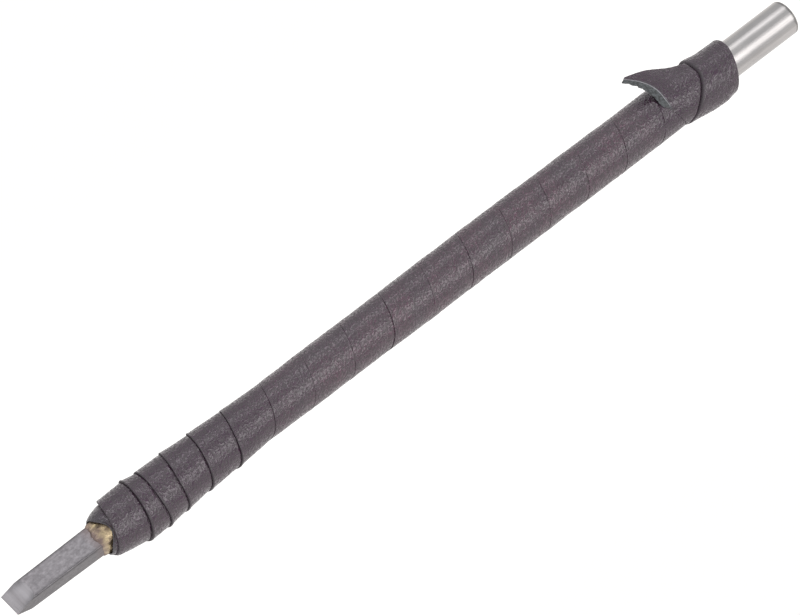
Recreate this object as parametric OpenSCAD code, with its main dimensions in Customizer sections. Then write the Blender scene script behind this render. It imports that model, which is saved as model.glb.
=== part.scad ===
// Leather-wrapped carving chisel.
// Frame: X along the tool's axis, from the centre of the tube's rear rim (x = 0) to the
// cutting edge. Z is up when the tool lies on a table with the blade's wide face on top.
// Angles about the axis are counted from +Y towards +Z.

/* [Tool] */
// Length from the rear rim to the cutting edge
tool_length = 160.6; // [158:0.2:164]

/* [Tube] */
// Outside diameter of the handle tube
tube_d = 6; // [5.8:0.1:6]
// Wall thickness of the tube
tube_wall = 0.5; // [0.4:0.05:0.5]
// Length of the tube, from its rear rim to its mouth under the leather
tube_length = 141; // [140:0.5:141]
// Radius of the rear rim's outer corner
rim_round = 0.6; // [0.3:0.05:0.6]
// How far the rear rim is rolled into the bore
rim_curl = 0.2; // [0.05:0.05:0.3]

/* [Blade] */
// Width of the cutting edge
edge_w = 4; // [3.6:0.1:4.2]
// Thickness of the bar at the cutting end, before the bevels
front_t = 2.9; // [2:0.1:3]
// Width of the bar at its root and along its tang
root_w = 4.25; // [4:0.05:4.3]
// Thickness of the bar at its root and along its tang
root_t = 3.25; // [2.6:0.05:3.3]
// Chamfer along the bar's four long corners
corner = 0.35; // [0.3:0.05:0.5]
// Length of the two bevels that meet in the cutting edge
bevel_length = 3.7; // [3:0.1:5]
// Width of the flat left on the cutting edge
edge_flat = 0.12; // [0.05:0.01:0.2]
// Length of the tang inside the tube
tang_length = 18; // [12:1:24]

/* [Braze] */
// How far the braze stands out of the tube's mouth along the blade
fillet_length = 3; // [2:0.1:3]
// How far the braze runs into the tube around the tang
plug_length = 5; // [3:0.5:8]

/* [Leather strap] */
// Thickness of the strap where it stands free
strap_t = 0.46; // [0.4:0.02:0.5]
// Advance of the strap in each turn along the shaft
shaft_pitch = 8.1; // [8:0.05:8.2]
// Outer radius at the front edge of each turn along the shaft
shaft_r = 4.12; // [4.1:0.01:4.13]
// Height of the tool's axis above the table it lies on
rest_z = 4.7; // [4.6:0.05:5]
// Steps in which one turn is drawn
turn_steps = 24; // [24:24:48]

/* [Hidden] */

tube_r = tube_d / 2;
bore_r = tube_r - tube_wall;
root_x = tube_length + fillet_length;
thin = 0.02;                  // thickness of the slices that a hull joins
butt = 0.03;                  // gap between neighbouring turns
steel = [0.80, 0.79, 0.78];
carbide = [0.45, 0.44, 0.46];
brass = [0.72, 0.58, 0.33];
leather = [0.27, 0.22, 0.24];

// The strap is wound from the mouth to the rear, as a left-handed helix. Its place is
// counted in turns: turn 0 starts at start_angle, underneath the tool.
start_angle = -112.5;
mouth_x = 143;                // front edge of the strap's first turn
mouth_dip = 1.25;             // how far that edge dips rearwards on the blade's upper side
wrap_x = 142.7;               // where the second turn's front edge starts, underneath
grip_pitch = [5.1, 3.2, 2.5, 5.8, 5.2, 6.9];
grip_turns = len(grip_pitch);
seam_bend = [0, 0, 0.8, 1.1, 0.3, 0.6]; // how far each turn's edge sags rearwards underneath
collar_turn = 17;             // the last turn, which locks the strap's end

// Outer radius at the front edge of a turn, and at its rear where the next one covers it
grip_edge_r = [3.3, 4.9, 5.1, 4.8, 4.65, 4.45, shaft_r + 0.03];
grip_back_r = [4.5, 4.85, 4.6, 4.45, 4.2, 4.1, shaft_r - 0.1];
shaft_drop = 0.1;             // how far a shaft turn sinks from its front to its rear

// How much thicker each turn is than a round one where it faces down, and where it faces up
swell_below = [0.08, 0.2, 0.22, 0.14, 0, 0.05, -0.22, -0.12, -0.12, -0.12, 0.02, -0.06,
               0, 0, 0, 0, 0, 0];
swell_above = [0.2, 0.03, -0.12, 0.13, 0.15, 0.17, 0, 0.08, 0.08, 0.1, 0.14, 0.16,
               0.12, 0.05, 0.02, -0.05, 0, 0];

// The last turn stands up as a collar. Its outer radii at its crest, its middle and its rear
// are pairs: where it is thinnest, and how much it gains where the strap's end runs below it
collar_front_x = 20.1;
collar_crest_x = 19.4;
collar_middle_x = 17.2;
collar_rear_x = 12.7;
collar_rear_shift = 2.3;      // how much further forward the rear edge lies underneath
collar_crest_r = [4.46, 0.52];
collar_middle_r = [4.02, 1.06];
collar_rear_r = [3.93, 0.78];

// The strap's pointed end, which sticks out from under the collar: lengths around the
// tool are measured along the strap from +Y, at the radius flap_r
flap_r = shaft_r + 0.03 + strap_t / 2;
flap_start = -1.55;
flap_tip = 12.75;
flap_tip_x = 30.55;
flap_root = 9.45;             // where the pointed end's rear cut comes out of the collar
flap_belly = 0.72;            // how far that cut bows out
flap_steps = 26;
flap_strips = 6;
skive = 1.15;                 // width of the bevel that thins the free front edge
free_r = 20;                  // bend radius of the flap where it stands free

function angle_at(t) = start_angle + 360 * t;
function sum_to(v, n) = n <= 0 ? 0 : v[n - 1] + sum_to(v, n - 1);
function between(v, t) =
    let (at = min(max(t, 0), len(v) - 1), i = min(floor(at), len(v) - 2))
    v[i] + (v[i + 1] - v[i]) * (at - i);
function ease(lo, hi, t) = let (u = min(max((t - lo) / (hi - lo), 0), 1)) u * u * (3 - 2 * u);
function about_x(x, r, a) = [x, r * cos(a), r * sin(a)];

// The rim of the first turn
function lip_x(a) =
    let (off = (a - 67) - 360 * round((a - 67) / 360))
    mouth_x - mouth_dip * pow(cos(min(abs(off) * 1.4, 90)), 2);
// Helix of the strap's front edge, with t in turns. The second turn starts square to the tool
function helix_x(t) =
    t < 1 ? wrap_x - grip_pitch[0] * pow(max(t, 0), 2.14)
    : t < grip_turns
        ? let (i = floor(t), u = t - i)
            wrap_x - sum_to(grip_pitch, i) - grip_pitch[i] * u
                - seam_bend[i] * ease(0.02, 0.25, u) * (1 - ease(0.25, 0.52, u))
        : wrap_x - sum_to(grip_pitch, grip_turns) - shaft_pitch * (t - grip_turns);
collar_x = helix_x(collar_turn);
function edge_x(t) =
    t < 1 ? min(helix_x(t), lip_x(angle_at(t)) - 0.15)
    : t < collar_turn ? helix_x(t)
    : collar_x - (collar_x - collar_front_x) * ease(0.245, 0.565, t - collar_turn);
function edge_r(t) = t < grip_turns ? between(grip_edge_r, t) : shaft_r;
function back_r(t) = t < grip_turns ? between(grip_back_r, t) : shaft_r - shaft_drop;
function swell(t) =
    let (below = cos(angle_at(t) + 25))
    below > 0 ? below * between(swell_below, t - 0.24) : -below * between(swell_above, t - 0.74);

function collar_back_x(t) =
    collar_rear_x + collar_rear_shift * (1 - ease(0.25, 0.66, t - collar_turn));
function collar_r(t, radii) = radii[0] + radii[1] * (0.5 + 0.5 * cos(angle_at(t) + 20));
// The collar rises out of the turn before it
function collar_front_r(t) =
    let (rise = ease(0.2, 0.42, t - collar_turn))
    (shaft_r + 0.03) * (1 - rise) + (collar_r(t, collar_crest_r) - 0.03) * rise;

// The soft leather is pressed level where the tool lies on it
function pressed(p) = [p[0], p[1], max(p[2], -rest_z)];

// One step of the strap around the tube. outer holds the place and the outer radius of its
// front edge, of its rear edge and of any points between them
function inner_r() = tube_r / cos(180 / turn_steps);
function strip(t, outer) =
    let (a = angle_at(t))
    concat([about_x(outer[0][0], inner_r(), a)],
           [for (p = outer) pressed(about_x(p[0], p[1], a))],
           [about_x(outer[len(outer) - 1][0], inner_r(), a)]);

// Closes a row of sections into a solid
module band(sections) {
    n = len(sections);
    m = len(sections[0]);
    e = m * (n - 1);
    polyhedron(
        points = [for (s = sections) each s],
        faces = concat(
            [for (i = [0:n - 2], k = [0:m - 1], half = [0, 1])
                let (a = m * i + k, b = m * i + (k + 1) % m, c = b + m, d = a + m)
                half == 0 ? [a, c, b] : [a, d, c]],
            [for (k = [1:m - 2]) [0, k, k + 1]],
            [for (k = [1:m - 2]) [e, e + k + 1, e + k]]));
}

module along_x() { rotate([90, 0, 90]) children(); }

module bar_section(w, t) {
    y = w / 2;
    z = t / 2;
    polygon([[y, z - corner], [y - corner, z], [corner - y, z], [-y, z - corner],
             [-y, corner - z], [corner - y, -z], [y - corner, -z], [y, corner - z]]);
}

module bar_slice(x, w, t) {
    translate([x, 0, 0]) along_x() linear_extrude(thin) bar_section(w, t);
}

// The ground bar with its tang, before the bevels
module bar() {
    hull() {
        bar_slice(tube_length - tang_length, root_w, root_t);
        bar_slice(root_x, root_w, root_t);
        bar_slice(tool_length, edge_w, front_t);
    }
}

module blade() {
    shoulder_x = tool_length - bevel_length;
    tang_x = tube_length - tang_length;
    color(carbide) intersection() {
        bar();
        rotate([90, 0, 0]) linear_extrude(2 * root_w, center = true)
            polygon([[tang_x - 1, -root_t], [shoulder_x, -root_t],
                     [shoulder_x, -front_t / 2 - thin], [tool_length, -edge_flat / 2],
                     [tool_length, edge_flat / 2], [shoulder_x, front_t / 2 + thin],
                     [shoulder_x, root_t], [tang_x - 1, root_t]]);
    }
}

module braze_fillet() {
    color(brass) difference() {
        union() {
            translate([tube_length - plug_length, 0, 0]) along_x()
                cylinder(h = plug_length, r = bore_r, $fn = 64);
            hull() {
                translate([tube_length, 0, 0]) along_x()
                    cylinder(h = thin, r = tube_r - 0.1, $fn = 32);
                bar_slice(root_x - thin, root_w + 0.1, root_t + 0.1);
            }
        }
        bar();
    }
}

// Half section of the tube, with the rear rim rolled inwards as a pipe cutter leaves it
module tube_section() {
    polygon(concat(
        [for (a = [0:12:60])
            [tube_r - rim_round * (1 - cos(a)), rim_round * (sin(60) - sin(a))]],
        [[bore_r - rim_curl, 0], [bore_r, 3 * rim_curl],
         [bore_r, tube_length], [tube_r, tube_length]]));
}

module handle_tube() {
    color(steel) along_x() rotate_extrude($fn = 96) tube_section();
}

module strap_mouth_turn() {
    span = turn_steps - 0.05;
    color(leather) band([for (i = [0:turn_steps])
        let (t = min(i, span) / turn_steps - 1)
        strip(t, [[lip_x(angle_at(t)), 3.3],
                  [edge_x(t + 1) + butt, max(edge_r(t + 1) - 0.35, 3.25)]])]);
}

// Turns of the strap from one turn to another, as one winding
module winding(first, last) {
    band([for (i = [0:(last - first) * turn_steps])
        let (t = first + i / turn_steps)
        strip(t, [[edge_x(t), edge_r(t) + swell(t)],
                  [edge_x(t + 1) + butt, back_r(t) + swell(t + 1)]])]);
}

module strap_grip_turns() { color(leather) winding(0, grip_turns); }
module strap_shaft_turns() { color(leather) winding(grip_turns, collar_turn); }

module strap_collar_turn() {
    span = turn_steps - 0.05;
    color(leather) band([for (i = [0:turn_steps])
        let (t = collar_turn + min(i, span) / turn_steps)
        strip(t, [[edge_x(t), collar_front_r(t)],
                  [collar_crest_x, collar_r(t, collar_crest_r)],
                  [collar_middle_x, collar_r(t, collar_middle_r)],
                  [collar_back_x(t), collar_r(t, collar_rear_r)]])]);
}

// Outline of the strap's end: its front edge, and its rear edge along the collar and then
// along the slanting cut to the tip
function flap_front_x(s) =
    27.45 - 0.37 * max(0, 4.35 - s) + 0.114 * pow(max(0, s - 7), 2);
function flap_back_x(s) =
    let (t = collar_turn + (s / flap_r * 180 / PI - start_angle) / 360,
         u = (s - flap_root) / (flap_tip - flap_root),
         cut = collar_front_x + (flap_tip_x - collar_front_x) * u - flap_belly * sin(180 * u))
    max(edge_x(t) + butt, u > 0 ? cut : 0);
// The flesh side reaches further forward than the grain side where the edge is skived
function flesh_front_x(s) =
    flap_front_x(s) + skive * ease(3.8, 6, s) * (1 - 0.3 * ease(9.5, flap_tip, s));
// The flap lifts off the turns below along a slanting line
function lift_s(x) = 3.9 + 0.4 * (27 - x + sqrt(pow(27 - x, 2) + 7.2));
function flap_point(s, x, out) =
    let (s0 = min(s, lift_s(x)), a0 = s0 / flap_r * 180 / PI,
         free = (s - s0) / free_r * 180 / PI)
    [x,
     (flap_r + out) * cos(a0) - (free_r + out) * (cos(a0) - cos(a0 + free)),
     (flap_r + out) * sin(a0) + (free_r + out) * (sin(a0 + free) - sin(a0))];

module strap_tail_flap() {
    n = flap_strips + 1;
    m = flap_steps + 1;
    sheet = m * n;
    function at(i, j, out) =
        let (s = flap_start + (flap_tip - flap_start) * i / flap_steps,
             x0 = flap_back_x(s), x1 = out < 0 ? flesh_front_x(s) : flap_front_x(s))
        flap_point(s, x0 + (x1 - x0) * j / flap_strips, out);
    function id(k, i, j) = k * sheet + i * n + j;
    color(leather) polyhedron(
        points = [for (out = [-strap_t / 2, strap_t / 2], i = [0:flap_steps], j = [0:flap_strips])
                     at(i, j, out)],
        faces = concat(
            [for (k = [0, 1], i = [0:flap_steps - 1], j = [0:flap_strips - 1], half = [0, 1])
                let (a = id(k, i, j), b = id(k, i, j + 1), c = id(k, i + 1, j + 1), d = id(k, i + 1, j))
                k == 0 ? (half == 0 ? [a, b, c] : [a, c, d]) : (half == 0 ? [a, c, b] : [a, d, c])],
            [for (j = [0, flap_strips], i = [0:flap_steps - 1], half = [0, 1])
                let (a = id(0, i, j), b = id(0, i + 1, j), c = id(1, i + 1, j), d = id(1, i, j))
                j == 0 ? (half == 0 ? [a, b, c] : [a, c, d]) : (half == 0 ? [a, c, b] : [a, d, c])],
            [for (i = [0, flap_steps], j = [0:flap_strips - 1], half = [0, 1])
                let (a = id(0, i, j), b = id(1, i, j), c = id(1, i, j + 1), d = id(0, i, j + 1))
                i == 0 ? (half == 0 ? [a, b, c] : [a, c, d]) : (half == 0 ? [a, c, b] : [a, d, c])]));
}

blade();
braze_fillet();
handle_tube();
strap_mouth_turn();
strap_grip_turns();
strap_shaft_turns();
strap_collar_turn();
strap_tail_flap();
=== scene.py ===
"""Leather-wrapped carving chisel: the visual model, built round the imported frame.

The tool lies along X, from the tube's rear rim at x = 0 to the cutting edge. Lengths in this script
are in mm, and points are turned into metres when a mesh is made. Angles about the axis are in
degrees, counted from +Y towards +Z.
"""
import math

import bmesh
import bpy
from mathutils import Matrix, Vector, noise


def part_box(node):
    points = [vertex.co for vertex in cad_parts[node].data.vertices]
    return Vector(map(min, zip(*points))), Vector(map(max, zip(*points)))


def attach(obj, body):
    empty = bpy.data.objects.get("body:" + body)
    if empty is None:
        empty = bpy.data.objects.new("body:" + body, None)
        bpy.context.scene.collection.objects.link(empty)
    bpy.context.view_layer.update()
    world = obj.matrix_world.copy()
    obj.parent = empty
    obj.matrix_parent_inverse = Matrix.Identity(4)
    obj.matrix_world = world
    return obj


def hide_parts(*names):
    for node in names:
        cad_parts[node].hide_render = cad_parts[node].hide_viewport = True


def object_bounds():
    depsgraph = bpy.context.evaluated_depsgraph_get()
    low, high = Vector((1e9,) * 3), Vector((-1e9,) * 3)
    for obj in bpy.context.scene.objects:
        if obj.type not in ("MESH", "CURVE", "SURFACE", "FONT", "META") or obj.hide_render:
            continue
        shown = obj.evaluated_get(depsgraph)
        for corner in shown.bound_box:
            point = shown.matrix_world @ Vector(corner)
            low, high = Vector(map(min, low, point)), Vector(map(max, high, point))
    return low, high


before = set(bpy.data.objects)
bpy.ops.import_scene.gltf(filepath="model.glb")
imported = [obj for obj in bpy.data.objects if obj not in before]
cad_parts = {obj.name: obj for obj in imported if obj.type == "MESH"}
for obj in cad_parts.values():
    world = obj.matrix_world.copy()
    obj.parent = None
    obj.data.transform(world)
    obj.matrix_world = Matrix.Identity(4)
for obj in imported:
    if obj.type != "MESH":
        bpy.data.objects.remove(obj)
cad_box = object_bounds()

MM = 0.001


def span(node):
    """The lowest and highest corner of a CAD node, in mm."""
    return [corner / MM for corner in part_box(node)]


# Driving sizes, from the frame
BLADE_LOW, BLADE_HIGH = span("blade")
TUBE_HIGH = span("handle_tube")[1]
BRAZE_LOW, BRAZE_HIGH = span("braze_fillet")
FLOOR_Z = cad_box[0].z / MM
TOOL_LENGTH = BLADE_HIGH.x
TUBE_R = TUBE_HIGH.y
TUBE_LENGTH = TUBE_HIGH.x

# Tube
TUBE_WALL = 0.5
BORE_R = TUBE_R - TUBE_WALL
RIM_ROUND = 0.6
RIM_CURL = 0.2

# Blade and braze
ROOT_W = BLADE_HIGH.y - BLADE_LOW.y
ROOT_T = BLADE_HIGH.z - BLADE_LOW.z
EDGE_W = 4.0
FRONT_T = 2.9
EDGE_FLAT = 0.1
BEVEL_LENGTH = 3.7
BAR_CORNER = 0.3
TAPER_START_X = TUBE_LENGTH + 3
# The tang's rear stretch can't be seen, so the blade starts a little way inside the tube
BLADE_START_X = TUBE_LENGTH - 3
BRAZE_MOUTH_R = TUBE_R - 0.12

# Strap: its winding, as the CAD model has it. Places along it are counted in turns.
STRAP_INNER_R = TUBE_R + 0.01
START_ANGLE = -112.5
MOUTH_X = 143.0
MOUTH_DIP = 1.25
MOUTH_DIP_ANGLE = 67
WRAP_X = 142.7
GRIP_PITCH = [5.1, 3.2, 2.5, 5.8, 5.2, 6.9]
GRIP_TURNS = len(GRIP_PITCH)
# How far each seam of the grip bends rearwards on the tool's +Y side
SEAM_BEND = [0, 0, 0.8, 1.1, 0.3, 0.6]
SHAFT_PITCH = 8.1
SHAFT_R = 4.12
COLLAR_TURN = 17
COLLAR_FRONT_X = 20.1
COLLAR_REAR_X = 12.7
COLLAR_REAR_SHIFT = 2.3
COLLAR_CREST_X = 19.4
COLLAR_MIDDLE_X = 17.2
COLLAR_THICK_ANGLE = -20
# Its outer radii: where it is thinnest, and how much it gains at that angle, over the strap's end
COLLAR_CREST_R = (4.46, 0.52)
COLLAR_MIDDLE_R = (4.02, 1.06)
COLLAR_REAR_R = (3.93, 0.78)
GRIP_EDGE_R = [3.3, 4.9, 5.1, 4.8, 4.65, 4.45, SHAFT_R + 0.03]
GRIP_BACK_R = [4.5, 4.85, 4.6, 4.45, 4.2, 4.1, SHAFT_R - 0.02]
# How much thicker each turn is than a round one at an angle a little below +Y, and opposite it
SWELL_ANGLE = -25
SWELL_BELOW = [0.08, 0.2, 0.22, 0.14, 0, 0.05, -0.22, -0.12, -0.12, -0.12, 0.02, -0.06,
               0, 0, 0, 0, 0, 0]
SWELL_ABOVE = [0.2, 0.03, -0.12, 0.13, 0.15, 0.17, 0, 0.08, 0.08, 0.1, 0.14, 0.16,
               0.12, 0.05, 0.02, -0.05, 0, 0]
# Where each turn passes those two places, in turns from its start
SWELL_BELOW_T = 0.24
SWELL_ABOVE_T = 0.74
# How open the seam in front of each turn is, from 0, closed, to 1. It changes underneath.
SEAM_OPEN = [0.8, 1, 1, 1, 1, 0.9, 0.2, 0, 0, 0.5, 0, 0.3, 0, 0, 0, 0.1, 0.1, 1, 1]
# A short stretch where the first seam of the shaft stands open: its middle and its reach, in turns
SHORT_GAP_T = 6.41
SHORT_GAP_REACH = 0.045
# The space kept between a turn and the one in front of it
BUTT = 0.012
# Rim of the first turn
RIM_R = 3.12
RIM_HALF_T = 0.13

# Pointed end of the strap
STRAP_T = 0.46
FLAP_R = SHAFT_R + 0.03 + STRAP_T / 2
# Lengths round the tool from +Y: the flap's start, where it leaves the collar, and its tip
FLAP_START = -1.55
FLAP_ROOT = 9.45
FLAP_TIP = 12.75
FLAP_TIP_X = 30.55
FLAP_FRONT_X = 27.45
FLAP_BELLY = 0.72
SKIVE = 1.15
FREE_R = 20.0
# The line the flap lifts off along: its length round the tool, and where it starts to slant
LIFT_S = 3.9
LIFT_X = 27.0


# ---------------------------------------------------------------- helpers

def clamp(value, low=0.0, high=1.0):
    return min(max(value, low), high)


def ease(low, high, value):
    u = clamp((value - low) / (high - low))
    return u * u * (3 - 2 * u)


def mix(a, b, share):
    return a + (b - a) * share


def between(values, place):
    """The value at a place between a list's entries."""
    i = int(clamp(math.floor(place), 0, len(values) - 2))
    return mix(values[i], values[i + 1], clamp(place - i))


def soft_line(knots, x):
    """Height at x of a line through points with falling x, smoothed by averaging."""
    total = 0.0
    for step in range(-3, 4):
        at = clamp(x + 0.25 * step, knots[-1][0], knots[0][0])
        i = next((k for k in range(len(knots) - 2) if at >= knots[k + 1][0]), len(knots) - 2)
        (x0, r0), (x1, r1) = knots[i], knots[i + 1]
        total += mix(r0, r1, clamp((x0 - at) / max(x0 - x1, 1e-6)))
    return total / 7


def about_x(x, r, degrees):
    a = math.radians(degrees)
    return Vector((x, r * math.cos(a), r * math.sin(a)))


def rough(point, size, seed):
    """Smooth noise from -1 to 1 at a point, with lumps of about that size."""
    shift = Vector((seed * 17.3, seed * 5.1, seed * 9.7))
    return noise.noise(Vector(point) / size + shift)


def arc(start, end, steps):
    """Angles in radians from start to end, both included, given in degrees."""
    return [math.radians(mix(start, end, i / steps)) for i in range(steps + 1)]


def loft(name, sections, material, ring=False, strap=None, sharp=None):
    """A closed solid through closed sections of points. ring joins the last section to the first.
    strap gives each point's (along, across, mark) on the leather strap, for its material. The mark
    is 0 on plain grain, -1 or less where a seam's shade is painted, 1 on the flesh side and 2 where
    a cut edge has a painted highlight."""
    count, width = len(sections), len(sections[0])
    faces = []
    for i in range(count if ring else count - 1):
        a, b = i * width, (i + 1) % count * width
        for k in range(width):
            j = (k + 1) % width
            faces.append((a + k, b + k, b + j, a + j))
    wall_faces = len(faces)
    if not ring:
        faces.append(tuple(range(width)))
        faces.append(tuple(reversed(range((count - 1) * width, count * width))))
    mesh = bpy.data.meshes.new(name)
    mesh.from_pydata([point * MM for section in sections for point in section], [], faces)
    solid = bmesh.new()
    solid.from_mesh(mesh)
    if solid.calc_volume(signed=True) < 0:
        bmesh.ops.reverse_faces(solid, faces=solid.faces)
    solid.to_mesh(mesh)
    solid.free()
    for i, face in enumerate(mesh.polygons):
        face.use_smooth = i < wall_faces
    if sharp:
        mesh.set_sharp_from_angle(angle=math.radians(sharp))
    if strap:
        values = [value for section in strap for point in section for value in point]
        mesh.attributes.new("strap", "FLOAT_VECTOR", "POINT").data.foreach_set("vector", values)
    piece = bpy.data.objects.new(name, mesh)
    bpy.context.scene.collection.objects.link(piece)
    mesh.materials.append(material)
    return piece


def fit(piece, slot, *nodes):
    """Puts a finished piece on the frame in place of its CAD nodes."""
    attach(piece, "root")
    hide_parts(*nodes)


# ---------------------------------------------------------------- material nodes

class Shade:
    """A material with one Principled shader, and a short way to add nodes to it."""

    def __init__(self, name, **values):
        self.material = bpy.data.materials.new(name)
        self.material.use_nodes = True
        self.tree = self.material.node_tree
        self.shader = self.tree.nodes["Principled BSDF"]
        for key, value in values.items():
            self.shader.inputs[key.replace("_", " ")].default_value = value

    def add(self, kind, inputs, **settings):
        """A new node. Its inputs are set from numbers, colours or other nodes' outputs."""
        node = self.tree.nodes.new("ShaderNode" + kind)
        for key, value in settings.items():
            setattr(node, key, value)
        for key, value in inputs.items():
            if isinstance(value, bpy.types.NodeSocket):
                self.tree.links.new(value, node.inputs[key])
            else:
                node.inputs[key].default_value = value
        return node

    def place(self, scale, source=None):
        """The object's coordinates, or another vector, times a scale for each axis."""
        source = source or self.add("TexCoord", {}).outputs["Object"]
        return self.add("VectorMath", {0: source, 1: scale}, operation="MULTIPLY").outputs[0]

    def along(self, axis):
        """The object's coordinate along X, Y or Z, in metres."""
        coordinates = self.add("TexCoord", {}).outputs["Object"]
        return self.add("SeparateXYZ", {0: coordinates}).outputs[axis]

    def noise(self, vector, detail=3.0):
        inputs = {"Vector": vector, "Detail": detail, "Scale": 1.0}
        return self.add("TexNoise", inputs).outputs["Fac"]

    def remap(self, value, low, high, to_low=0.0, to_high=1.0):
        return self.add("MapRange", {
            "Value": value, "From Min": low, "From Max": high,
            "To Min": to_low, "To Max": to_high}).outputs["Result"]

    def math(self, operation, a, b=0.0):
        return self.add("Math", {0: a, 1: b}, operation=operation).outputs[0]

    def blend(self, share, a, b):
        """A colour between two colours."""
        node = self.add("Mix", {}, data_type="RGBA")
        for socket, value in zip((node.inputs[0], node.inputs[6], node.inputs[7]), (share, a, b)):
            if isinstance(value, bpy.types.NodeSocket):
                self.tree.links.new(value, socket)
            else:
                socket.default_value = value
        return node.outputs[2]

    def drive(self, key, output):
        self.tree.links.new(output, self.shader.inputs[key])

    def bump(self, height, depth):
        """Surface relief. depth is what a height of 1 stands for, in mm."""
        inputs = {"Height": height, "Distance": depth * MM, "Strength": 1.0}
        return self.add("Bump", inputs).outputs["Normal"]


def leather():
    """Thin pebbled leather in dark aubergine brown, grey on the flesh side where it is cut, with
    painted shade in its seams and in the hollows of its grain, and a painted highlight on the
    flap's cut grain edge. Its pattern follows the strap, and the shaft is worn lighter than the
    grip and the collar."""
    m = Shade("strap_leather", IOR=1.7)
    strap = m.add("Attribute", {}, attribute_name="strap").outputs["Vector"]
    mark = m.add("SeparateXYZ", {0: strap}).outputs["Z"]
    flat = m.add("VectorMath", {0: strap, 1: (1, 1, 0)}, operation="MULTIPLY").outputs[0]
    wobble = m.add("TexNoise", {"Vector": flat, "Scale": 0.8, "Detail": 2.0}).outputs["Color"]
    bent = m.add("VectorMath", {0: wobble, 1: (1.1, 1.1, 0), 2: flat},
                 operation="MULTIPLY_ADD").outputs[0]
    pebble_gap = m.add("TexVoronoi", {"Vector": m.place((1.5, 2.1, 1), bent), "Scale": 1.0},
                       feature="DISTANCE_TO_EDGE").outputs["Distance"]
    grain = m.noise(m.place((2.1, 2.7, 1), bent), detail=1.0)
    creases = m.noise(m.place((0.4, 2.2, 1), bent), detail=1.5)
    blotch = m.noise(m.place((0.18, 0.24, 1), bent), detail=3.0)
    height = m.math("ADD", m.math("MULTIPLY", m.remap(pebble_gap, 0.0, 0.35), 0.03),
                    m.math("MULTIPLY", grain, 0.13))
    height = m.math("ADD", height, m.math("MULTIPLY", creases, 0.06))
    m.drive("Normal", m.bump(height, 1.0))

    tone = m.blend(m.remap(blotch, 0.38, 0.62),
                   (0.067, 0.025, 0.045, 1), (0.049, 0.025, 0.041, 1))
    x = m.along("X")
    less_worn = m.math("ADD", m.remap(x, 100 * MM, 116 * MM, 0.0, 0.95),
                       m.remap(x, 30 * MM, 34 * MM, 1.0, 0.0))
    tone = m.blend(less_worn, tone, (0.027, 0.005, 0.023, 1))
    # Painted shade in the gaps between the pebbles and in the low places of the grain
    tone = m.blend(m.remap(pebble_gap, 0.0, 0.16, 0.75, 0.0), tone, (0.018, 0.011, 0.015, 1))
    tone = m.blend(m.remap(grain, 0.38, 0.58, 0.7, 0.0), tone, (0.020, 0.012, 0.016, 1))
    flesh = m.blend(m.remap(grain, 0.40, 0.58), (0.012, 0.014, 0.015, 1), (0.050, 0.055, 0.059, 1))
    tone = m.blend(m.remap(mark, 0.0, 1.0), tone, flesh)
    # Painted highlight on the flap's cut grain edge, where the mark is above 1
    tone = m.blend(m.remap(mark, 1.0, 1.8), tone, (0.27, 0.26, 0.28, 1))
    # Painted shade in the seams, where the mark is below 0
    tone = m.blend(m.remap(mark, -1.0, 0.0, 0.55, 0.0), tone, (0.008, 0.006, 0.008, 1))
    m.drive("Base Color", tone)
    polished = m.remap(grain, 0.42, 0.58, 0.52, 0.13)
    dull = m.math("MULTIPLY", m.math("ABSOLUTE", mark), 0.75)
    m.drive("Roughness", m.math("MAXIMUM", polished, dull))
    return m.material


def drawn_tube():
    """Bright drawn steel with fine scratches along the tube and a ragged line of painted shade near
    its rim.
    """
    m = Shade("tube_steel", Metallic=1.0)
    streaks = m.noise(m.place((60, 5200, 5200)), detail=4.0)
    clouds = m.noise(m.place((160, 420, 420)), detail=3.0)
    scratches = m.noise(m.place((22, 2400, 2400)), detail=3.0)
    tone = m.blend(m.remap(clouds, 0.35, 0.65), (0.40, 0.385, 0.381, 1), (0.45, 0.432, 0.427, 1))
    tone = m.blend(m.remap(scratches, 0.45, 0.65, 0.0, 0.35), tone, (0.27, 0.262, 0.262, 1))
    # Painted shade: a ragged dark line just inside the rim stands in for the rolled rim's dark
    # reflection
    rim_shade_wobble = m.noise(m.place((500, 1500, 1500)), detail=2.0)
    ragged = m.math("ADD", m.along("X"), m.math("MULTIPLY", rim_shade_wobble, 0.9 * MM))
    painted_rim_shade = m.math("MULTIPLY", m.remap(ragged, 0.6 * MM, 0.8 * MM),
                  m.remap(ragged, 0.9 * MM, 1.2 * MM, 0.7, 0.0))
    m.drive("Base Color", m.blend(painted_rim_shade, tone, (0.12, 0.115, 0.11, 1)))
    m.drive("Roughness", m.remap(streaks, 0.3, 0.7, 0.28, 0.38))
    m.drive("Normal", m.bump(streaks, 0.004))
    return m.material


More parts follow.
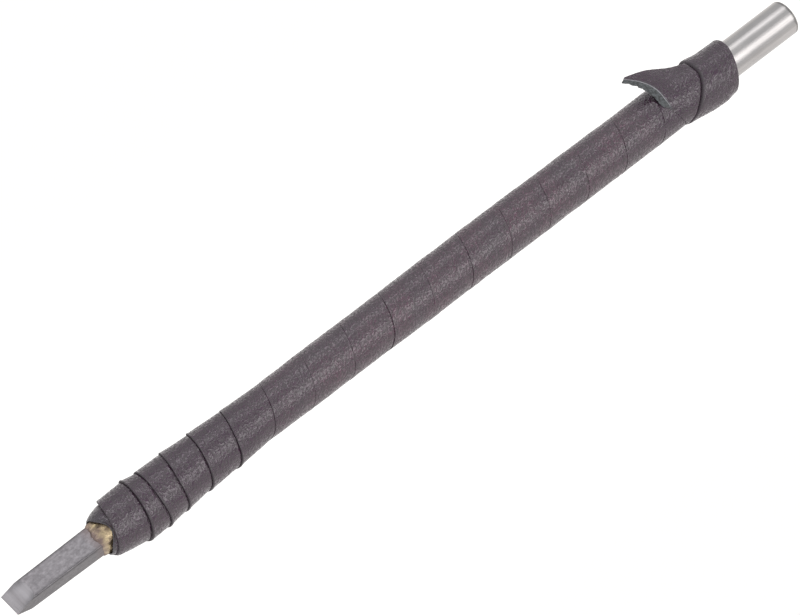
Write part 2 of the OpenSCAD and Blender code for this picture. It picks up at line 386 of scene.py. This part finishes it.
def ground_bar():
    """Matte ground tool metal, a little mottled. It is darker on its sides and corners, and tinted
    by heat next to the braze."""
    m = Shade("blade_steel", Metallic=1.0)
    mottle = m.noise(m.place((1700, 2300, 2300)), detail=3.0)
    lines = m.noise(m.place((900, 4500, 4500)), detail=2.0)
    tone = m.blend(m.remap(mottle, 0.3, 0.7), (0.155, 0.146, 0.154, 1), (0.235, 0.222, 0.234, 1))
    side = m.math("ABSOLUTE", m.along("Y"))
    tone = m.blend(m.remap(side, 1.88 * MM, 1.98 * MM, 0.0, 0.4), tone, (0.12, 0.115, 0.12, 1))
    by_width = m.remap(side, 1.45 * MM, 1.85 * MM)
    by_thickness = m.remap(m.math("ABSOLUTE", m.along("Z")), 0.95 * MM, 1.35 * MM)
    corner = m.math("MULTIPLY", m.math("MULTIPLY", by_width, by_thickness), 0.5)
    tone = m.blend(corner, tone, (0.09, 0.085, 0.09, 1))
    tint = m.remap(m.math("ADD", m.along("X"), m.math("MULTIPLY", mottle, 1.2 * MM)),
                   (BRAZE_HIGH.x + 0.6) * MM, (BRAZE_HIGH.x + 2.2) * MM, 0.55, 0.0)
    m.drive("Base Color", m.blend(tint, tone, (0.17, 0.125, 0.12, 1)))
    m.drive("Roughness", m.remap(lines, 0.3, 0.7, 0.36, 0.48))
    m.drive("Normal", m.bump(m.math("ADD", mottle, lines), 0.02))
    return m.material


def ground_bevel():
    """The bevels' fresh grinding, with bands across the blade."""
    m = Shade("bevel_steel", Metallic=1.0)
    bands = m.noise(m.place((700, 60, 60)), detail=2.0)
    lines = m.noise(m.place((9000, 200, 200)), detail=2.0)
    tone = m.blend(m.remap(bands, 0.35, 0.65), (0.19, 0.18, 0.188, 1), (0.25, 0.24, 0.252, 1))
    m.drive("Base Color", tone)
    m.drive("Roughness", m.remap(lines, 0.3, 0.7, 0.3, 0.42))
    m.drive("Normal", m.bump(lines, 0.004))
    return m.material


def brazing():
    """Golden braze, brown and dull in places from the flame, most of all at its front."""
    m = Shade("braze", Metallic=1.0)
    burnt = m.noise(m.place((520, 700, 700)), detail=3.0)
    grain = m.noise(m.place((1500, 1500, 1500)), detail=2.0)
    tone = m.blend(m.remap(burnt, 0.38, 0.60), (0.50, 0.40, 0.25, 1), (0.20, 0.150, 0.105, 1))
    tone = m.blend(m.remap(grain, 0.50, 0.70, 0.0, 0.5), tone, (0.12, 0.09, 0.07, 1))
    front = m.remap(m.math("ADD", m.along("X"), m.math("MULTIPLY", burnt, 2 * MM)),
                    (BRAZE_HIGH.x - 0.3) * MM, (BRAZE_HIGH.x + 1.0) * MM, 0.0, 0.9)
    m.drive("Base Color", m.blend(front, tone, (0.20, 0.150, 0.140, 1)))
    m.drive("Roughness", m.remap(burnt, 0.35, 0.65, 0.35, 0.55))
    m.drive("Normal", m.bump(grain, 0.09))
    return m.material


# ---------------------------------------------------------------- tube

def build_tube(material):
    """The handle tube. Its rear rim is rolled in and a little uneven, as if by a pipe cutter."""
    outline = [(TUBE_R - RIM_ROUND * (1 - math.cos(a)),
                RIM_ROUND * (math.sin(math.radians(60)) - math.sin(a))) for a in arc(0, 60, 12)]
    curl_x = 3 * RIM_CURL
    outline += [(BORE_R - RIM_CURL + 0.03, 0.0), (BORE_R - RIM_CURL, 0.03)]
    outline += [(BORE_R - RIM_CURL * math.cos(a) ** 2, curl_x * math.sin(a))
                for a in arc(10, 90, 6)]
    outline += [(BORE_R, x) for x in (2, 6, 14, TUBE_LENGTH)]
    outline += [(TUBE_R, x) for x in (TUBE_LENGTH, 60, 30, 18, 14, 10, 6, 3, 1.4, 0.8)]
    steps = 288
    sections = []
    for i in range(steps):
        degrees = 360 * i / steps
        section = []
        for r, x in outline:
            near_rim = 1 - ease(0.3, 1.0, x)
            dent = 0.018 * near_rim * rough(about_x(x, r, degrees), 0.9, 3)
            section.append(about_x(max(x, 0), r + dent, degrees))
        sections.append(section)
    fit(loft("handle_tube_bright", sections, material, ring=True, sharp=40),
        "tube_steel", "handle_tube")


# ---------------------------------------------------------------- blade and braze

def bar_loop(width, thick, corner, steps=9):
    """Points round the bar's section, (y, z), from its +Y side towards +Z."""
    loop = []
    for y, z, start in ((1, 1, 0), (-1, 1, 90), (-1, -1, 180), (1, -1, 270)):
        centre_y, centre_z = y * (width / 2 - corner), z * (thick / 2 - corner)
        loop += [(centre_y + corner * math.cos(a), centre_z + corner * math.sin(a))
                 for a in arc(start, start + 90, steps)]
    full = []
    for i, (y, z) in enumerate(loop):
        full.append((y, z))
        next_y, next_z = loop[(i + 1) % len(loop)]
        flat_side = math.hypot(next_y - y, next_z - z) > 2 * corner
        parts = 12 if flat_side else 1
        full += [(mix(y, next_y, k / parts), mix(z, next_z, k / parts)) for k in range(1, parts)]
    return full


def bevel_height(x, y):
    """Half thickness left by the bevels, which are ground a little hollow across the blade."""
    slope = (FRONT_T / 2 - EDGE_FLAT / 2) / BEVEL_LENGTH
    return EDGE_FLAT / 2 + (TOOL_LENGTH - x) * slope * (1 + 0.18 * abs(y / 2) ** 3)


def build_blade(flat_material, bevel_material):
    """The bar, which tapers to its edge, with the two bevels ground across its front."""
    front = bar_loop(EDGE_W, FRONT_T, BAR_CORNER)
    root = bar_loop(ROOT_W, ROOT_T, BAR_CORNER)
    flat_rows, bevel_rows = 60, 40
    columns = []
    for (y1, z1), (y0, z0) in zip(front, root):
        def at(x):
            share = clamp((x - TAPER_START_X) / (TOOL_LENGTH - TAPER_START_X))
            slim = mix(0.93, 1, ease(TUBE_LENGTH, TUBE_LENGTH + 0.5, x))
            return mix(y0, y1, share) * slim, mix(z0, z1, share) * slim
        # Where the bevel meets this line of the bar, found by halving
        low, high = TOOL_LENGTH - 2 * BEVEL_LENGTH, TOOL_LENGTH - 0.02
        for _ in range(30):
            x = (low + high) / 2
            y, z = at(x)
            if bevel_height(x, y) > abs(z):
                low = x
            else:
                high = x
        shoulder = low
        column = []
        for i in range(flat_rows + 1):
            x = mix(BLADE_START_X, shoulder, i / flat_rows)
            y, z = at(x)
            wave = 0.012 * rough((x, y, z), 3.0, 5) * ease(0, 0.4, shoulder - x)
            column.append(Vector((x, y, z + math.copysign(wave, z))))
        for i in range(1, bevel_rows + 1):
            x = mix(shoulder, TOOL_LENGTH, i / bevel_rows)
            y, z = at(x)
            column.append(Vector((x, y, math.copysign(min(bevel_height(x, y), abs(z)), z))))
        columns.append(column)
    sections = [list(row) for row in zip(*columns)]
    blade = loft("blade_ground", sections, flat_material, sharp=13)
    blade.data.materials.append(bevel_material)
    width = len(columns)
    for face in blade.data.polygons[flat_rows * width:(flat_rows + bevel_rows) * width]:
        face.material_index = 1
    fit(blade, "blade_steel", "blade")


def build_braze(material):
    """The braze round the blade's root: a plug in the tube and a hollow, lumpy fillet before it."""
    width, thick = ROOT_W - 0.02, ROOT_T - 0.02
    plug_r, mouth_x = BORE_R - 0.02, TUBE_LENGTH + 0.01
    steps = 180
    sections = []
    for i in range(steps):
        degrees = 360 * i / steps
        c, s = math.cos(math.radians(degrees)), math.sin(math.radians(degrees))
        bar_r = min(width / 2 / max(abs(c), 1e-6), thick / 2 / max(abs(s), 1e-6))
        front_x = BRAZE_HIGH.x + 0.3 * rough((2.2 * c, 2.2 * s, 0), 1.0, 7)
        front_x += 0.4 * clamp(math.cos(math.radians(degrees - 85))) ** 6
        profile = [(BRAZE_LOW.x, bar_r - 0.25), (BRAZE_LOW.x, plug_r), (mouth_x, plug_r),
                   (mouth_x, BRAZE_MOUTH_R)]
        parts = 26
        for k in range(1, parts + 1):
            u = k / parts
            x = mix(mouth_x, front_x, u)
            hollow = mix(BRAZE_MOUTH_R, bar_r + 0.05, 1 - (1 - u) ** 0.8)
            lump = rough((x, hollow * c, hollow * s), 0.8, 8) * 0.09
            lump += rough((x, hollow * c, hollow * s), 0.3, 9) * 0.035
            fade = ease(0, 0.12, u) * ease(0, 0.1, 1 - u)
            profile.append((x, hollow + (lump + 0.06) * fade))
        profile += [(front_x + 0.03, bar_r + 0.01), (front_x, bar_r - 0.25)]
        sections.append([about_x(x, r, degrees) for x, r in profile])
    fit(loft("braze_fillet_cast", sections, material, ring=True, sharp=60),
        "braze", "braze_fillet")


# ---------------------------------------------------------------- strap

def angle_at(t):
    return START_ANGLE + 360 * t


def lip_x(degrees):
    """The rim of the first turn, which dips rearwards on the blade's upper side."""
    off = (degrees - MOUTH_DIP_ANGLE + 180) % 360 - 180
    return MOUTH_X - MOUTH_DIP * math.cos(math.radians(min(abs(off) * 1.4, 90))) ** 2


def helix_x(t):
    """Place of the seam in front of a turn, along the helix."""
    if t >= GRIP_TURNS:
        return WRAP_X - sum(GRIP_PITCH) - SHAFT_PITCH * (t - GRIP_TURNS)
    if t < 1:
        return WRAP_X - GRIP_PITCH[0] * max(t, 0) ** 2.14
    turn = int(t)
    u = t - turn
    bend = SEAM_BEND[turn] * ease(0.02, 0.25, u) * (1 - ease(0.25, 0.52, u))
    return WRAP_X - sum(GRIP_PITCH[:turn]) - GRIP_PITCH[turn] * u - bend


def edge_x(t):
    """Place of the strap's front edge."""
    if t < 1:
        return min(helix_x(t), lip_x(angle_at(t)) - 0.15)
    if t < COLLAR_TURN:
        return helix_x(t)
    collar_x = helix_x(COLLAR_TURN)
    return collar_x - (collar_x - COLLAR_FRONT_X) * ease(0.245, 0.565, t - COLLAR_TURN)


def seam_open(t):
    """How open the seam in front of the strap's edge is at a place along it."""
    open_here = between(SEAM_OPEN, math.floor(t) + ease(0.85, 1, t % 1))
    short_gap = 0.8 * math.exp(-((t - SHORT_GAP_T) / SHORT_GAP_REACH) ** 2)
    side_gap = 0.3 * clamp(math.cos(math.radians(angle_at(t) + 15))) ** 3
    return max(open_here, short_gap, side_gap)


def edge_r(t):
    """Outer radius at the strap's front edge."""
    return between(GRIP_EDGE_R, t) if t < GRIP_TURNS else SHAFT_R


def back_r(t):
    """Outer radius at the strap's rear, where the next turn starts."""
    if t < GRIP_TURNS:
        return between(GRIP_BACK_R, t)
    return SHAFT_R - 0.005 - 0.09 * seam_open(t + 1)


def swell(t):
    """What the winding gains on a round one: it was pulled tight in places, and slack in others."""
    below = math.cos(math.radians(angle_at(t) - SWELL_ANGLE))
    if below > 0:
        return below * between(SWELL_BELOW, t - SWELL_BELOW_T)
    return -below * between(SWELL_ABOVE, t - SWELL_ABOVE_T)


def relief(along, across, point, lift):
    """Lumps and creases of the leather, in mm above its plain surface."""
    lumps = 0.05 * rough(point, 2.8, 1) + 0.025 * rough(point, 1.2, 2)
    patch = clamp(0.5 + 1.6 * rough((along, across, 0), 7, 3))
    lengthwise = rough((along / 4.5, across / 0.42, 0), 1, 4)
    crease = -0.05 * clamp(1 - abs(lengthwise) * 5) * patch
    pebbles = 0.012 * rough((along / 0.75, across / 0.5, 0), 1, 5)
    return (lumps + crease + pebbles) * lift


def pressed(point):
    """The leather's soft underside is pressed level where it lies on the floor."""
    soft = 0.06
    above = (point.z - FLOOR_Z) / soft
    if above < 12:
        point.z = FLOOR_Z + soft * math.log1p(math.exp(above))
    return point


def strap_section(t, x_front, x_rear, r_at, edge_w, edge_h, dip, columns, dark=1.0,
                  rear_w=0.0, rear_h=0.0):
    """One section through a turn, as points and as their (along, across, mark) on the strap.
    r_at gives the outer radius at a place from the front edge, at 0, to the rear edge, at 1. The
    front edge is rounded over edge_w by edge_h. The rear dips into the next seam or is rounded."""
    inner = STRAP_INNER_R
    degrees = angle_at(t)
    along = t * 2 * math.pi * SHAFT_R
    width = x_front - x_rear
    edge_w = min(edge_w, width / 4)
    r_front = r_at(0)
    # Marks below 0 are painted shade: dark sets it on the front edge's rounding; the rear groove
    # gets it too
    outline = [(x_front, inner, -1.0), (x_front, mix(inner, r_front - edge_h, 0.6), -1.0)]
    for a in arc(0, 90, 6)[:-1]:
        outline.append((x_front - edge_w * (1 - math.cos(a)),
                        r_front - edge_h * (1 - math.sin(a)), -dark * math.cos(a)))
    for k in range(columns + 1):
        across = edge_w + (width - edge_w) * k / columns
        to_rear = width - across
        groove = 1 - ease(0, 0.4, to_rear)
        r = r_at(across / width) - dip * groove
        if rear_w:
            r -= rear_h * (1 - math.sqrt(1 - (1 - clamp(to_rear / rear_w)) ** 2))
        outline.append((x_front - across, r, -6 * dip * groove ** 2))
    outline += [(x_rear, inner, -1.0)]
    points, marks = [], []
    for x, r, mark in outline:
        across = x_front - x
        point = about_x(x, r, degrees)
        if r > inner:
            lift = clamp((r - inner) / 0.5)
            point = about_x(x, r + relief(along, across, point, lift), degrees)
            point = pressed(point)
        points.append(point)
        marks.append((along, across, mark))
    return points, marks


def build_winding(name, first, last, per_turn, columns, material):
    """Turns of the strap from one turn to another."""
    rows = []
    steps = round((last - first) * per_turn)
    for i in range(steps + 1):
        t = first + i / per_turn
        front, rear, gap = edge_r(t), back_r(t), seam_open(t)
        grip = 1 - ease(GRIP_TURNS - 1.2, GRIP_TURNS - 0.2, t)
        # Lips of the grip's turns stand out most on the +Y side
        drop = mix(0.65, 1, ease(GRIP_TURNS - 0.1, GRIP_TURNS + 0.4, t))
        lip = grip * (0.35 + 0.65 * ease(-0.2, 0.9, math.cos(math.radians(angle_at(t) + 5))))
        # The seam's painted shade grows with how open the seam is
        rows.append(strap_section(
            t, edge_x(t), edge_x(t + 1) + BUTT,
            lambda u: mix(front + swell(t), rear + swell(t + 1), u ** drop),
            0.04 + 0.15 * gap + 0.2 * lip, 0.006 + 0.11 * gap + 0.08 * lip,
            0.06 * seam_open(t + 1) + 0.04 * lip, columns, dark=clamp(1.2 * gap - 0.1)))
    return loft(name, [row[0] for row in rows], material, strap=[row[1] for row in rows])


def build_mouth_turn(material):
    """The first turn, whose thin rim stands open round the braze in front of the tube's mouth."""
    steps, columns = 216, 30
    inner = STRAP_INNER_R
    rows = []
    for i in range(steps):
        t = i / steps - 1
        degrees = angle_at(t)
        x_front, x_rear = lip_x(degrees), edge_x(t + 1) + BUTT
        width = x_front - x_rear
        r_rear = max(edge_r(t + 1) - 0.35, 3.25)
        along = t * 2 * math.pi * SHAFT_R
        outline = [(x_rear, inner, 0.0), (TUBE_LENGTH - 0.1, inner, 0.0),
                   (mix(TUBE_LENGTH, x_front, 0.5), RIM_R - RIM_HALF_T - 0.02, 0.3)]
        outline += [(x_front - RIM_HALF_T * (1 - math.sin(a)), RIM_R - RIM_HALF_T * math.cos(a),
                     0.5) for a in arc(0, 180, 8)]
        for k in range(1, columns + 1):
            u = k / columns
            x = mix(x_front - RIM_HALF_T, x_rear, u)
            dip = 0.08 * (1 - ease(0, 0.4, x - x_rear)) if width > 1 else 0.0
            r = mix(RIM_R + RIM_HALF_T, r_rear, u ** 0.75) + 0.07 * math.sin(math.pi * u) - dip
            outline.append((x, r, 0.4 * (1 - u)))
        points, marks = [], []
        for x, r, mark in outline:
            point = about_x(x, r, degrees)
            if r > inner and x > x_rear:
                frayed = 0.05 * rough(point, 0.5, 6) * ease(0.6, 0, x_front - x)
                r += relief(along, x_front - x, point, clamp((r - 3) / 0.6)) + frayed * 0.6
                point = pressed(about_x(x + frayed, r, degrees))
            points.append(point)
            marks.append((along, x_front - x, mark))
        rows.append((points, marks))
    return loft("strap_mouth_turn_soft", [row[0] for row in rows], material, ring=True,
                strap=[row[1] for row in rows])


def collar_back_x(t):
    """Place of the collar's slanting rear edge."""
    return COLLAR_REAR_X + COLLAR_REAR_SHIFT * (1 - ease(0.25, 0.66, t - COLLAR_TURN))


def collar_r(t, radii):
    """Outer radius of the collar, from one of its pairs of radii."""
    thick = math.cos(math.radians(angle_at(t) - COLLAR_THICK_ANGLE))
    return radii[0] + radii[1] * (0.5 + 0.5 * thick)


def build_collar(material):
    """The last turn, which locks the strap's end and is thicker where the end runs below it."""
    rows = []
    steps = 250
    for i in range(steps + 1):
        t = COLLAR_TURN + min(i, steps - 0.4) / steps
        front_x, rear_x = edge_x(t), collar_back_x(t)
        rise = ease(0.2, 0.42, t - COLLAR_TURN)
        crest = collar_r(t, COLLAR_CREST_R)
        knots = [(front_x, mix(SHAFT_R + 0.03, crest - 0.03, rise)), (COLLAR_CREST_X, crest),
                 (COLLAR_MIDDLE_X, collar_r(t, COLLAR_MIDDLE_R)),
                 (rear_x, collar_r(t, COLLAR_REAR_R))]
        tucked = 0.16 * ease(0.93, 0.995, t - COLLAR_TURN)

        def r_at(u):
            return soft_line(knots, mix(front_x, rear_x, u)) - tucked
        # The collar's front edge gets strong painted shade, dark=1.5
        rows.append(strap_section(t, front_x, rear_x, r_at, 0.2 + 0.8 * rise, 0.1 + 0.45 * rise,
                                  0.0, 64, dark=1.5, rear_w=0.2, rear_h=0.12))
    return loft("strap_collar_turn_soft", [row[0] for row in rows], material,
                strap=[row[1] for row in rows])


def flap_front_x(s):
    """The front edge of the flap's grain side: slanting at first, and swept forwards to the tip."""
    return FLAP_FRONT_X - 0.37 * max(0, 4.35 - s) + 0.114 * max(0, s - 7) ** 2


def flesh_front_x(s):
    """The flesh side reaches further forward than the grain side where the edge is skived."""
    x = flap_front_x(s) + SKIVE * ease(3.8, 6, s) * (1 - 0.3 * ease(9.5, FLAP_TIP, s))
    return mix(x, FLAP_TIP_X + 0.15, ease(FLAP_TIP - 0.5, FLAP_TIP, s))


def flap_back_x(s):
    """The rear edge of the flap: under the collar, and then cut to the tip with a slight belly."""
    t = COLLAR_TURN + (math.degrees(s / FLAP_R) - START_ANGLE) / 360
    u = (s - FLAP_ROOT) / (FLAP_TIP - FLAP_ROOT)
    cut = mix(COLLAR_FRONT_X, FLAP_TIP_X, u) - FLAP_BELLY * math.sin(math.pi * clamp(u))
    return max(edge_x(t) + BUTT, cut if u > 0 else 0)


def flap_point(s, x, out):
    """Point of the flap at length s round the tool, which lifts off along a slanting line."""
    behind = LIFT_X - x
    s0 = min(s, LIFT_S + 0.4 * (behind + math.sqrt(behind ** 2 + 7.2)))
    a0, free = s0 / FLAP_R, (s - s0) / FREE_R
    return Vector((
        x,
        (FLAP_R + out) * math.cos(a0) - (FREE_R + out) * (math.cos(a0) - math.cos(a0 + free)),
        (FLAP_R + out) * math.sin(a0) + (FREE_R + out) * (math.sin(a0 + free) - math.sin(a0))))


def build_flap(material):
    """The strap's pointed end. Its front edge is skived, which bares the flesh side."""
    half = STRAP_T / 2
    steps, columns, bevel_parts = 260, 40, 12
    rows = []
    for i in range(steps + 1):
        s = mix(FLAP_START, FLAP_TIP, i / steps)
        back, flesh = flap_back_x(s), flesh_front_x(s)
        front = min(flap_front_x(s), flesh - 0.15)
        lies = 1 - ease(3.6, 5.4, s)
        outline = [(mix(back, flesh, k / columns), -half, 1.0) for k in range(columns + 1)]
        outline += [(mix(flesh, front, k / bevel_parts),
                     mix(-half + 0.03, half - 0.08, k / bevel_parts), 1.0)
                    for k in range(bevel_parts)]
        # The grain side's rounded front edge gets mark 2, a painted highlight, where the flap lifts
        outline += [(front - 0.14 * (1 - math.cos(a)), half - 0.08 * (1 - math.sin(a)),
                     2 * (1 - lies) * math.cos(a)) for a in arc(0, 80, 5)]
        outline += [(mix(front - 0.12, back, k / columns), half, 0.0)
                    for k in range(1, columns + 1)]
        points, marks = [], []
        for x, out, mark in outline:
            probe = Vector((x, s, 0))
            if mark == 1.0:
                fuzz = ease(front - 0.4, flesh, x)
                x += fuzz * (0.16 * rough(probe, 0.6, 11) + 0.08 * rough(probe, 0.22, 12))
                out += 0.05 * rough(probe, 0.4, 13)
                mark = 1.0 - lies
            else:
                out += 0.03 * rough(probe, 1.8, 14) - 0.04 * clamp(
                    1 - abs(rough((s / 3.5, x / 0.5, 0), 1, 15)) * 5)
                out -= 0.15 * (1 - ease(0, 0.4, x - back)) * (1 - ease(9, 10, s))
            # Where the edge lies on the handle it is pared down to nothing
            out -= (out + half) * 0.95 * lies * (1 - ease(0, 2.4, front - x))
            points.append(flap_point(s, x, out))
            marks.append((s + 40, front - x, mark))
        rows.append((points, marks))
    return loft("strap_tail_flap_soft", [row[0] for row in rows], material,
                strap=[row[1] for row in rows])


# ---------------------------------------------------------------- stage

# Camera: far back with a long lens, above the blade's side and looking down on the tool
CAMERA_AZIMUTH = 138.26
CAMERA_ELEVATION = 58.28
CAMERA_DISTANCE = 0.9
CAMERA_TARGET = Vector((0.08214, -0.00027, 0.00004))
CAMERA_LENS = 262.7

# Lights and table, in metres
SOFTBOX_DISTANCE = 0.5
SOFTBOX_LENGTH = 1.0
TABLE_HALF = 3.0


def build_camera():
    """The camera at its azimuth and elevation from the target."""
    data = bpy.data.cameras.new("camera")
    data.lens = CAMERA_LENS
    data.clip_end = 20
    camera = bpy.data.objects.new("camera", data)
    bpy.context.scene.collection.objects.link(camera)
    a, e = math.radians(CAMERA_AZIMUTH), math.radians(CAMERA_ELEVATION)
    back = Vector((math.sin(a) * math.cos(e), -math.cos(a) * math.cos(e), math.sin(e)))
    camera.location = CAMERA_TARGET + back * CAMERA_DISTANCE
    camera.rotation_euler = (-back).to_track_quat("-Z", "Y").to_euler()
    bpy.context.scene.camera = camera


def softbox(name, degrees, width, watts, colour):
    """A long area light beside the tool, at an angle about its axis. Its width is in metres."""
    data = bpy.data.lights.new(name, "AREA")
    data.shape = "RECTANGLE"
    data.size, data.size_y = SOFTBOX_LENGTH, width
    data.energy = watts
    data.color = colour
    light = bpy.data.objects.new(name, data)
    bpy.context.scene.collection.objects.link(light)
    centre = Vector((TOOL_LENGTH / 2 * MM, 0, 0))
    out = about_x(0, 1, degrees)
    light.location = centre + out * SOFTBOX_DISTANCE
    light.rotation_euler = (-out).to_track_quat("-Z", "Y").to_euler()


def light_table():
    """A glowing white table top, brightest along the tool, so nothing on it casts a shadow."""
    m = Shade("floor_white", Base_Color=(0, 0, 0, 1), Roughness=1.0, Specular_IOR_Level=0.0)
    place = m.add("TexCoord", {}).outputs["Object"]
    middle = (TOOL_LENGTH / 2 * MM, 0, FLOOR_Z * MM)
    distance = m.add("VectorMath", {0: place, 1: middle}, operation="DISTANCE").outputs["Value"]
    aside = m.math("ABSOLUTE", m.along("Y"))
    m.drive("Emission Strength", m.math("ADD", m.remap(distance, 0.12, 0.6, 1.03, 0.62),
                                        m.remap(aside, 0.01, 0.05, 0.2, 0.0)))
    m.shader.inputs["Emission Color"].default_value = (1, 0.987, 0.972, 1)
    return m.material


def build_stage():
    """The table under the tool, the pale sky round it and the two softboxes."""
    mesh = bpy.data.meshes.new("floor")
    corners = [(-1, -1), (1, -1), (1, 1), (-1, 1)]
    mesh.from_pydata([(x * TABLE_HALF, y * TABLE_HALF, FLOOR_Z * MM) for x, y in corners], [],
                     [(0, 1, 2, 3)])
    mesh.materials.append(light_table())
    floor = bpy.data.objects.new("floor", mesh)
    bpy.context.scene.collection.objects.link(floor)
    world = bpy.data.worlds.new("studio")
    world.use_nodes = True
    background = world.node_tree.nodes["Background"]
    background.inputs["Color"].default_value = (0.97, 0.985, 1.0, 1)
    background.inputs["Strength"].default_value = 0.82
    bpy.context.scene.world = world
    softbox("softbox_main", 43, 0.31, 2.15, (1.0, 0.985, 0.97))
    softbox("softbox_second", 117, 0.20, 1.05, (1.0, 0.995, 0.995))
    bpy.context.scene.view_settings.view_transform = "Standard"


build_camera()
build_stage()
build_tube(drawn_tube())
build_blade(ground_bar(), ground_bevel())
build_braze(brazing())
strap_leather = leather()
fit(build_mouth_turn(strap_leather), "strap_leather", "strap_mouth_turn")
fit(build_winding("strap_grip_turns_soft", 0, GRIP_TURNS, 216, 44, strap_leather),
    "strap_leather", "strap_grip_turns")
fit(build_winding("strap_shaft_turns_soft", GRIP_TURNS, COLLAR_TURN, 168, 44, strap_leather),
    "strap_leather", "strap_shaft_turns")
fit(build_collar(strap_leather), "strap_leather", "strap_collar_turn")
fit(build_flap(strap_leather), "strap_leather", "strap_tail_flap")
